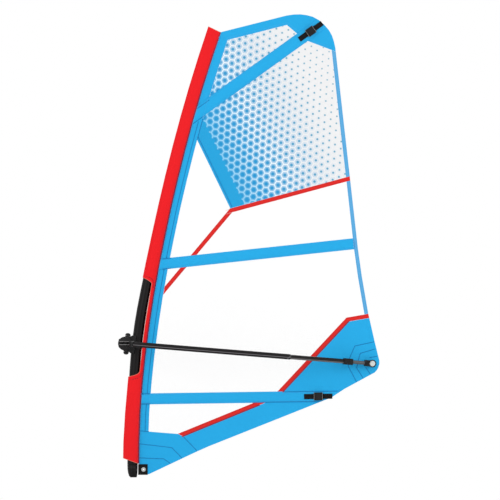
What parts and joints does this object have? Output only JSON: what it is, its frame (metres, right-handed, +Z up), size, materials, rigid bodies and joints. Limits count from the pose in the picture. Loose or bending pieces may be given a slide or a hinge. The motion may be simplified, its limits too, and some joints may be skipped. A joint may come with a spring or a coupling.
{
  "type": "windsurf rig",
  "caption": "Small child's windsurf rig: bent mast in a luff sleeve, patchwork monofilm sail with batten pockets, and a wishbone boom clamped to the mast.",
  "frame": {"origin": "centre of the flat end of the mast foot, where the rig stands on the board's mast joint", "axes": "+Z up the rig, +X from the luff to the leech in the sail's plane, -Y to port, the side of the batten pockets"},
  "size_m": [0.9148, 0.2686, 1.6208],
  "materials": {
    "red_cloth": "woven sailcloth",
    "blue_cloth": "woven sailcloth",
    "pale_blue_tape": "woven tape",
    "clear_film": "clear film",
    "printed_film": "film with a halftone print",
    "carbon_black": "satin black tube",
    "black_plastic": "moulded",
    "black_webbing": "woven webbing",
    "grip_foam": "fine-textured foam",
    "grey_tube": "grey anodised",
    "steel": "brushed",
    "batten_glass": "fibre rod",
    "black_steel": "blackened"
  },
  "bodies": {
    "rig": {"clew_eyelet": "black_plastic", "clew_panel": "blue_cloth", "clew_tape": "red_cloth", "clew_toggle": "steel", "diagonal_tape": "red_cloth", "foot_panel": "blue_cloth", "foot_tape": "red_cloth", "head_panel": "blue_cloth", "leech_tape": "pale_blue_tape", "lower_batten": "batten_glass", "lower_batten_pocket": "blue_cloth", "lower_tensioner_buckle": "black_plastic", "lower_tensioner_strap": "black_webbing", "lower_window": "clear_film", "luff_panel": "blue_cloth", "luff_sleeve": "red_cloth", "luff_window": "clear_film", "main_window": "clear_film", "mast_ferrule": "carbon_black", "mast_foot": "black_plastic", "mast_lower_tube": "carbon_black", "mast_tip_plug": "black_plastic", "mast_upper_tube": "carbon_black", "middle_batten": "batten_glass", "middle_batten_pocket": "blue_cloth", "print_panel": "printed_film", "small_window": "clear_film", "tack_eyelet": "steel", "tack_panel": "blue_cloth", "tack_patch": "black_webbing", "top_batten": "batten_glass", "top_batten_pocket": "blue_cloth", "top_tensioner_buckle": "black_plastic", "top_tensioner_strap": "black_webbing", "upper_print_panel": "printed_film", "upper_tape": "red_cloth", "upper_window": "clear_film"},
    "boom_head": {"boom_head": "black_plastic", "port_pivot_bolt": "black_steel", "starboard_pivot_bolt": "black_steel"},
    "clamp": {"clamp_band": "black_plastic", "tension_pin": "black_plastic"},
    "clamp_lever": {"clamp_lever": "black_plastic"},
    "arms": {"port_hub": "black_plastic", "port_arm": "carbon_black", "port_grip": "grip_foam", "port_tail_clip": "black_plastic", "starboard_hub": "black_plastic", "starboard_arm": "carbon_black", "starboard_grip": "grip_foam", "starboard_tail_clip": "black_plastic"},
    "port_tail": {"port_tail_tube": "grey_tube", "port_tail_fitting": "black_plastic"},
    "starboard_tail": {"starboard_tail_tube": "grey_tube", "starboard_tail_fitting": "black_plastic"},
    "port_clip_lever": {"port_clip_lever": "black_plastic"},
    "starboard_clip_lever": {"starboard_clip_lever": "black_plastic"},
    "top_cam": {"top_tensioner_cam": "black_plastic"},
    "lower_cam": {"lower_tensioner_cam": "black_plastic"}
  },
  "joints": [
    {"name": "boom_height", "type": "hinge", "parent": "rig", "child": "boom_head", "pos_m": [2.00668, 0, 0.24397], "axis": [0, 1, 0], "range_deg": [-1.43, 1.43]},
    {"name": "boom_swing", "type": "hinge", "parent": "boom_head", "child": "arms", "pos_m": [-0.02977, 0, 0.4683], "axis": [0, 1, 0], "range_deg": [-2, 2]},
    {"name": "boom_length_port", "type": "slide", "parent": "arms", "child": "port_tail", "axis": [0.975, 0.2079, -0.0787], "range_m": [-0.036, 0]},
    {"name": "boom_length_starboard", "type": "slide", "parent": "arms", "child": "starboard_tail", "axis": [0.975, -0.2079, -0.0787], "range_m": [-0.036, 0]},
    {"name": "clamp_lever_open", "type": "hinge", "parent": "boom_head", "child": "clamp_lever", "pos_m": [-0.04707, 0, 0.48026], "axis": [0, 1, 0], "range_deg": [0, 100]},
    {"name": "clamp_slack", "type": "slide", "parent": "boom_head", "child": "clamp", "axis": [0.994, 0, -0.1095], "range_m": [0, 0.001]},
    {"name": "port_clip_open", "type": "hinge", "parent": "arms", "child": "port_clip_lever", "pos_m": [0.74157, -0.04908, 0.40606], "axis": [-0.0804, 0, -0.9968], "range_deg": [0, 110]},
    {"name": "starboard_clip_open", "type": "hinge", "parent": "arms", "child": "starboard_clip_lever", "pos_m": [0.74157, 0.04908, 0.40606], "axis": [0.0804, 0, 0.9968], "range_deg": [0, 110]},
    {"name": "top_cam_open", "type": "hinge", "parent": "rig", "child": "top_cam", "pos_m": [0.61144, -0.01062, 1.55508], "axis": [0.5845, 0, -0.8114], "range_deg": [0, 80]},
    {"name": "lower_cam_open", "type": "hinge", "parent": "rig", "child": "lower_cam", "pos_m": [0.6356, -0.00053, 0.2833], "axis": [0.0144, 0, -0.9999], "range_deg": [0, 80]}
  ],
  "couplings": [
    {"joint": "boom_swing", "follows": "boom_height", "ratio": 1.356},
    {"joint": "boom_length_starboard", "follows": "boom_length_port", "ratio": 1},
    {"joint": "clamp_lever_open", "follows": "clamp_slack", "rad_per_m": 1745}
  ]
}
